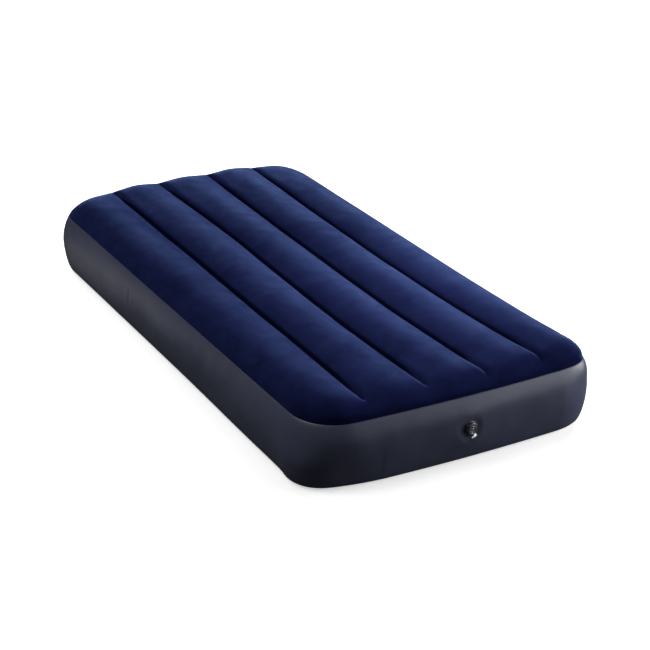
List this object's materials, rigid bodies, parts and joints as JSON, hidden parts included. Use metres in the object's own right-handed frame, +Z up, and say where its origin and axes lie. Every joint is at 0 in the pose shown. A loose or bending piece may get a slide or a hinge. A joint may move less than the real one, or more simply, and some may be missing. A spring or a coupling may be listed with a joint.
{
  "type": "air mattress",
  "caption": "Single-size flocked inflatable air mattress with lengthwise chambers, a dark side band and a screw-in two-in-one valve at the foot end.",
  "frame": {"origin": "on the floor, under the middle of the mattress", "axes": "+Z up; +Y along the bed towards the head end, the valve's foot end is at -Y; +X across the bed, to the right seen from the foot end"},
  "size_m": [0.9432, 1.9193, 0.247],
  "materials": {
    "flocked_pvc": "flocked velvet, navy blue",
    "band_pvc": "soft vinyl, satin, dark grey",
    "bottom_pvc": "soft vinyl, matt, dark grey",
    "beam_pvc": "soft vinyl, matt",
    "weld_strip_pvc": "welded vinyl strip, matt",
    "valve_plastic": "moulded, satin black",
    "gasket_rubber": "matt",
    "flap_plastic": "translucent soft vinyl",
    "tether_plastic": "clear soft vinyl, glossy"
  },
  "bodies": {
    "envelope": {"top_sheet": "flocked_pvc", "bottom_sheet": "bottom_pvc", "side_band": "band_pvc", "beam_1_web": "beam_pvc", "beam_1_top_weld_strip": "weld_strip_pvc", "beam_1_bottom_weld_strip": "weld_strip_pvc", "beam_2_web": "beam_pvc", "beam_2_top_weld_strip": "weld_strip_pvc", "beam_2_bottom_weld_strip": "weld_strip_pvc", "beam_3_web": "beam_pvc", "beam_3_top_weld_strip": "weld_strip_pvc", "beam_3_bottom_weld_strip": "weld_strip_pvc", "beam_4_web": "beam_pvc", "beam_4_top_weld_strip": "weld_strip_pvc", "beam_4_bottom_weld_strip": "weld_strip_pvc", "valve_base": "valve_plastic", "valve_tether": "tether_plastic"},
    "collar": {"tether_collar": "tether_plastic"},
    "housing": {"valve_housing": "valve_plastic", "valve_gasket": "gasket_rubber"},
    "flap": {"check_flap": "flap_plastic"},
    "cap": {"valve_cap": "valve_plastic"}
  },
  "joints": [
    {"name": "housing_lift", "type": "slide", "parent": "envelope", "child": "collar", "axis": [0, -1, 0], "range_m": [0, 0.00792]},
    {"name": "housing_turn", "type": "hinge", "parent": "collar", "child": "housing", "pos_m": [0.011, -0.952, 0.105], "axis": [0, -1, 0], "range_deg": [0, 1080]},
    {"name": "flap_swing", "type": "hinge", "parent": "housing", "child": "flap", "pos_m": [0.011, -0.94698, 0.11591], "axis": [1, 0, 0], "range_deg": [0, 60]},
    {"name": "cap_flip", "type": "hinge", "parent": "collar", "child": "cap", "pos_m": [0.02074, -0.96524, 0.0841], "axis": [0.9063, 0, 0.4226], "range_deg": [0, 170]}
  ],
  "couplings": [
    {"joint": "housing_lift", "follows": "housing_turn", "m_per_rad": 0.00042017}
  ]
}
